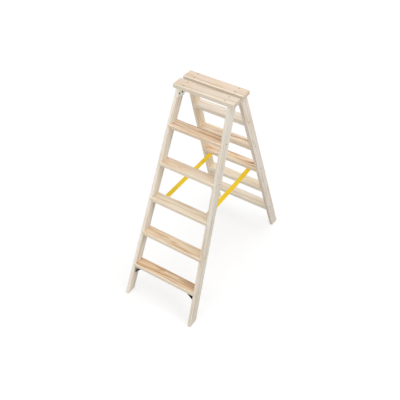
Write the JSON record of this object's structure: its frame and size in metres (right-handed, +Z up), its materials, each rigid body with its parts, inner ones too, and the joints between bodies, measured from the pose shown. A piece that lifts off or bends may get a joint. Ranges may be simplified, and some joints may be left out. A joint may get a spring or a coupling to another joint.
{
  "type": "step ladder",
  "caption": "Folding double-sided wooden step ladder: two splayed sections of housed treads and flat top boards, plate hinges at the top and webbing restraint straps.",
  "frame": {"origin": "on the floor, in the middle of the open ladder's footprint", "axes": "+Z up; treads run along X; the front section leans towards -Y and the back section towards +Y"},
  "size_m": [0.526, 1.2174, 1.4],
  "materials": {
    "stile_wood": "planed, untreated, matt",
    "tread_wood": "planed, untreated, matt",
    "board_wood": "planed, untreated, matt",
    "zinc_plate": "zinc plated, dull",
    "bolt_steel": "zinc plated, satin",
    "screw_steel": "zinc plated, satin",
    "bracket_steel": "dark, satin",
    "webbing": "woven yellow webbing"
  },
  "bodies": {
    "front_section": {"front_stile_left": "stile_wood", "front_stile_right": "stile_wood", "front_tread_1": "tread_wood", "front_tread_2": "tread_wood", "front_tread_3": "tread_wood", "front_tread_4": "tread_wood", "front_tread_5": "tread_wood", "front_top_board": "board_wood", "front_hinge_plate_left": "zinc_plate", "front_hinge_plate_right": "zinc_plate", "front_tread_screws": "screw_steel", "front_board_screws": "screw_steel", "front_hinge_bolts": "bolt_steel", "front_hinge_washers": "bolt_steel", "front_hinge_nuts": "bolt_steel", "front_strap_ends": "webbing", "front_strap_plates": "zinc_plate", "front_strap_screws": "screw_steel", "hinge_pin_left": "bolt_steel", "hinge_pin_right": "bolt_steel", "hinge_pivot_washers": "bolt_steel", "front_bracket_left": "bracket_steel", "front_bracket_right": "bracket_steel", "front_bracket_screws": "screw_steel"},
    "back_section": {"back_stile_left": "stile_wood", "back_stile_right": "stile_wood", "back_tread_1": "tread_wood", "back_tread_2": "tread_wood", "back_tread_3": "tread_wood", "back_tread_4": "tread_wood", "back_tread_5": "tread_wood", "back_top_board": "board_wood", "back_hinge_plate_left": "zinc_plate", "back_hinge_plate_right": "zinc_plate", "back_tread_screws": "screw_steel", "back_board_screws": "screw_steel", "back_hinge_bolts": "bolt_steel", "back_hinge_washers": "bolt_steel", "back_hinge_nuts": "bolt_steel", "back_strap_ends": "webbing", "back_strap_plates": "zinc_plate", "back_strap_screws": "screw_steel"},
    "strap_left_front": {"strap_left_front": "webbing"},
    "strap_left_back": {"strap_left_back": "webbing"},
    "strap_right_front": {"strap_right_front": "webbing"},
    "strap_right_back": {"strap_right_back": "webbing"}
  },
  "joints": [
    {"name": "section_fold", "type": "hinge", "parent": "front_section", "child": "back_section", "pos_m": [0, 0, 1.352], "axis": [-1, 0, 0], "range_deg": [0, 41]},
    {"name": "strap_left_front_hang", "type": "hinge", "parent": "front_section", "child": "strap_left_front", "pos_m": [-0.148, -0.27183, 0.6742], "axis": [-1, 0, 0], "range_deg": [0, 107]},
    {"name": "strap_left_back_hang", "type": "hinge", "parent": "back_section", "child": "strap_left_back", "pos_m": [-0.152, 0.27183, 0.6742], "axis": [1, 0, 0], "range_deg": [0, 107]},
    {"name": "strap_right_front_hang", "type": "hinge", "parent": "front_section", "child": "strap_right_front", "pos_m": [0.162, -0.27183, 0.6742], "axis": [-1, 0, 0], "range_deg": [0, 107]},
    {"name": "strap_right_back_hang", "type": "hinge", "parent": "back_section", "child": "strap_right_back", "pos_m": [0.149, 0.27183, 0.6742], "axis": [1, 0, 0], "range_deg": [0, 107]}
  ],
  "couplings": [
    {"joint": "strap_left_front_hang", "follows": "section_fold", "ratio": 2.594},
    {"joint": "strap_left_back_hang", "follows": "section_fold", "ratio": 2.594},
    {"joint": "strap_right_front_hang", "follows": "section_fold", "ratio": 2.594},
    {"joint": "strap_right_back_hang", "follows": "section_fold", "ratio": 2.594}
  ]
}
